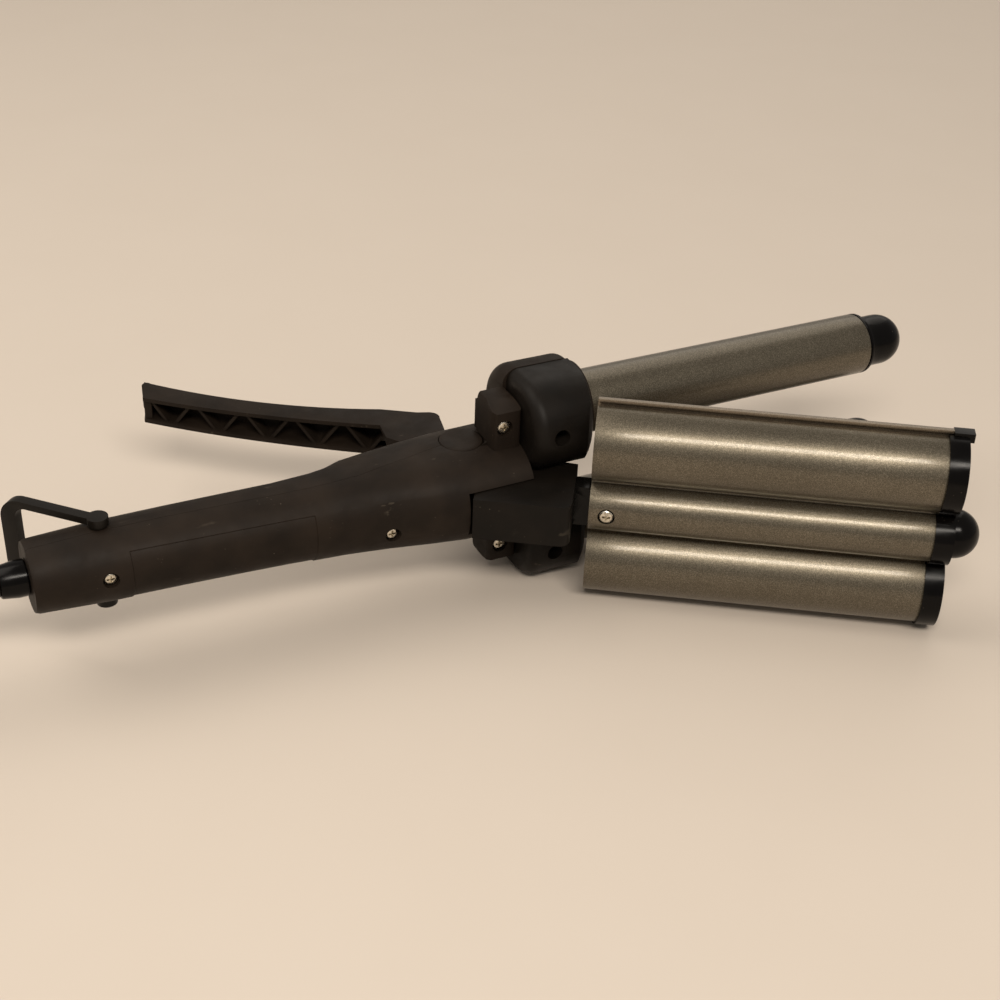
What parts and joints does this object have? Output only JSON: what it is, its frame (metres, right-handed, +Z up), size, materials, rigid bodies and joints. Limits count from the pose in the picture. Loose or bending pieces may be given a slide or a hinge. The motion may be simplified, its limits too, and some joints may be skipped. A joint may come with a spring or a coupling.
{
  "type": "hair waver",
  "caption": "Pliers-type hair waver lying open: a handle with barrels on a forked head, and a lever arm with a ridged jaw that closes over them",
  "frame": {"origin": "on the surface that the tool lies on, straight below the axis of the jaw's hinge pin", "axes": "+X along the barrels towards their tips, +Y towards the lever, +Z up along the hinge pin"},
  "size_m": [0.5112, 0.2179, 0.0816],
  "materials": {
    "dark_plastic": "satin",
    "cap_plastic": "satin",
    "loop_plastic": "satin",
    "bracket_plastic": "satin",
    "metallic_coat": "satin",
    "plate_coat": "satin",
    "black_plastic": "satin",
    "ceramic": "matte",
    "heat_pad": "matte",
    "clip_aluminium": "satin",
    "thermostat_steel": "satin",
    "board": "satin",
    "components": "satin",
    "inner_plastic": "matte",
    "red_lens": "gloss",
    "steel": "satin",
    "screw_metal": "polished",
    "bronze": "satin",
    "wire_blue": "satin",
    "wire_white": "satin",
    "cord_rubber": "satin",
    "tie": "matte",
    "blade_metal": "polished"
  },
  "bodies": {
    "handle": {"handle_front_shell": "dark_plastic", "handle_back_shell": "dark_plastic", "head_frame": "dark_plastic", "upper_head_cover": "dark_plastic", "lower_head_cover": "dark_plastic", "upper_barrel": "metallic_coat", "lower_barrel": "metallic_coat", "upper_barrel_tip": "black_plastic", "lower_barrel_tip": "black_plastic", "upper_heater": "ceramic", "lower_heater": "ceramic", "upper_heater_clip": "clip_aluminium", "lower_heater_clip": "clip_aluminium", "thermostat": "thermostat_steel", "circuit_board": "board", "board_components": "components", "switch_housing": "inner_plastic", "indicator_lens": "red_lens", "hinge_pin": "steel", "upper_hinge_cap": "cap_plastic", "lower_hinge_cap": "cap_plastic", "handle_screws": "screw_metal", "head_screws": "screw_metal", "cord_clamp": "inner_plastic", "clamp_screws": "screw_metal", "supply_wires": "wire_blue", "heater_wires": "wire_white", "jaw_spring": "steel", "cord_lead": "cord_rubber", "cord_coil": "cord_rubber", "cord_tie": "tie", "plug_body": "black_plastic", "plug_blades": "blade_metal"},
    "jaw_arm": {"hinge_block": "dark_plastic", "hinge_bush": "bronze", "lever_arm": "dark_plastic", "arm_screws": "screw_metal", "jaw_bracket": "bracket_plastic", "jaw_cover": "metallic_coat", "jaw_plate": "plate_coat", "jaw_root_cap": "black_plastic", "jaw_end_cap": "black_plastic", "jaw_nose": "black_plastic", "jaw_heater": "ceramic", "jaw_heater_pad": "heat_pad", "jaw_screw": "screw_metal"},
    "loop": {"hanging_loop": "loop_plastic"},
    "heat_switch": {"switch_slider": "dark_plastic"},
    "cord_outlet": {"cord_swivel": "black_plastic", "swivel_ring": "steel"}
  },
  "joints": [
    {"name": "jaw_hinge", "type": "hinge", "parent": "handle", "child": "jaw_arm", "pos_m": [0, 0.0027, 0.0408], "axis": [0, 0, 1], "range_deg": [0, 32.9], "stiffness_Nm_per_rad": 0.3, "springref_deg": -20.05, "deforming": ["jaw_spring"]},
    {"name": "loop_hinge", "type": "hinge", "parent": "handle", "child": "loop", "pos_m": [-0.1329, 0.0027, 0.0408], "axis": [0, 0, 1], "range_deg": [-104, 29]},
    {"name": "heat_switch_slide", "type": "slide", "parent": "handle", "child": "heat_switch", "axis": [1, 0, 0], "range_m": [0, 0.006]},
    {"name": "cord_outlet_turn", "type": "hinge", "parent": "handle", "child": "cord_outlet", "pos_m": [-0.158, 0.0027, 0.0408], "axis": [1, 0, 0], "continuous": true}
  ]
}
